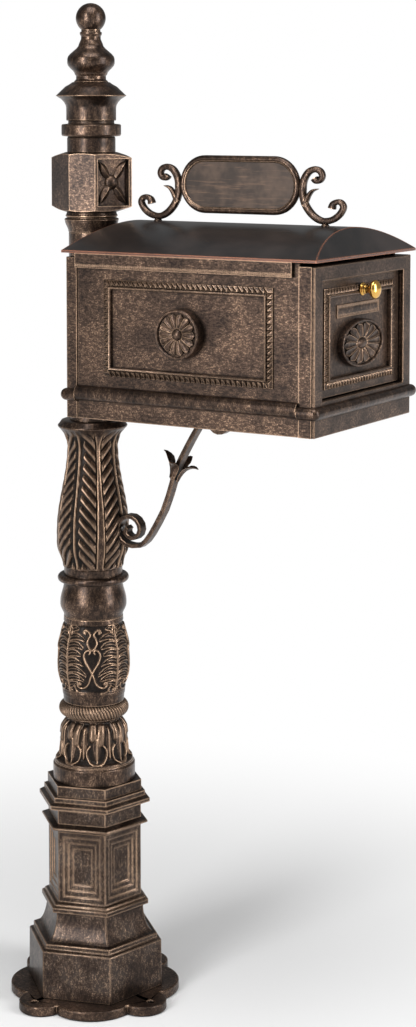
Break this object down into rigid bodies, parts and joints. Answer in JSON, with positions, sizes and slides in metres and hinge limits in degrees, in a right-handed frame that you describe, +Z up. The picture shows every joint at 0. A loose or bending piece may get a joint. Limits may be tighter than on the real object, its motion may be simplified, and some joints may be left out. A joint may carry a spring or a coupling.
{
  "type": "pedestal mailbox",
  "caption": "Ornate pedestal mailbox: a barrel-roofed box with a drop-down front door, carried by a stacked cast post with finial, plaque and scroll bracket.",
  "frame": {"origin": "on the post's axis, on the underside of the base plate", "axes": "+Z up along the post; the door faces -Y; +X to the right seen from the rear of the box looking along +Y towards the post"},
  "size_m": [0.39, 0.7414, 1.8],
  "materials": {
    "cast_bronze": "antique bronze finish on cast aluminium, rubbed on the edges",
    "dark_roof": "dark bronze finish, smoother",
    "plaque_face": "brushed antique bronze",
    "brass_knob": "polished",
    "steel": "plain",
    "catch_dark": "matte",
    "flag_red": "red paint"
  },
  "bodies": {
    "housing": {"base_plate": "cast_bronze", "plinth": "cast_bronze", "die": "cast_bronze", "cornice": "cast_bronze", "drum_collar": "cast_bronze", "acanthus_band": "cast_bronze", "rope_ring": "cast_bronze", "palmette_column": "cast_bronze", "bell_collar": "cast_bronze", "plain_ring": "cast_bronze", "feather_column": "cast_bronze", "neck_post": "cast_bronze", "neck_ring": "cast_bronze", "rosette_block": "cast_bronze", "block_rosettes": "cast_bronze", "spool_ring": "cast_bronze", "finial_cup": "cast_bronze", "finial_onion": "cast_bronze", "finial_ball": "cast_bronze", "tie_rod": "steel", "tie_rod_nuts": "steel", "box_floor": "cast_bronze", "left_side": "cast_bronze", "right_side": "cast_bronze", "rear_panel": "cast_bronze", "rear_posts": "cast_bronze", "front_frame": "cast_bronze", "front_trim": "cast_bronze", "side_mouldings": "cast_bronze", "corner_mouldings": "cast_bronze", "leaf_frames": "cast_bronze", "side_medallions": "cast_bronze", "roof_shell": "dark_roof", "roof_fascias": "cast_bronze", "roof_screws": "steel", "hinge_pins": "steel", "catch_magnet": "catch_dark", "flag_pivot": "steel", "post_saddles": "cast_bronze", "saddle_bolts": "steel", "scroll_bracket": "cast_bronze", "bracket_leaf": "cast_bronze", "bracket_screws": "steel", "plaque_rim": "cast_bronze", "plaque_panel": "plaque_face", "plaque_scrolls": "cast_bronze", "plaque_screws": "steel"},
    "door": {"door_panel": "cast_bronze", "door_leaf_frame": "cast_bronze", "door_medallion": "cast_bronze", "door_tablet": "cast_bronze", "knob": "brass_knob", "knob_rose": "brass_knob", "knob_screw": "steel", "catch_strike": "steel"},
    "flag": {"flag_arm": "flag_red"}
  },
  "joints": [
    {"name": "door_hinge", "type": "hinge", "parent": "housing", "child": "door", "pos_m": [0, -0.532, 1.158], "axis": [1, 0, 0], "range_deg": [0, 90]},
    {"name": "flag_pivot_joint", "type": "hinge", "parent": "housing", "child": "flag", "pos_m": [0.185, -0.495, 1.335], "axis": [1, 0, 0], "range_deg": [0, 90]}
  ]
}
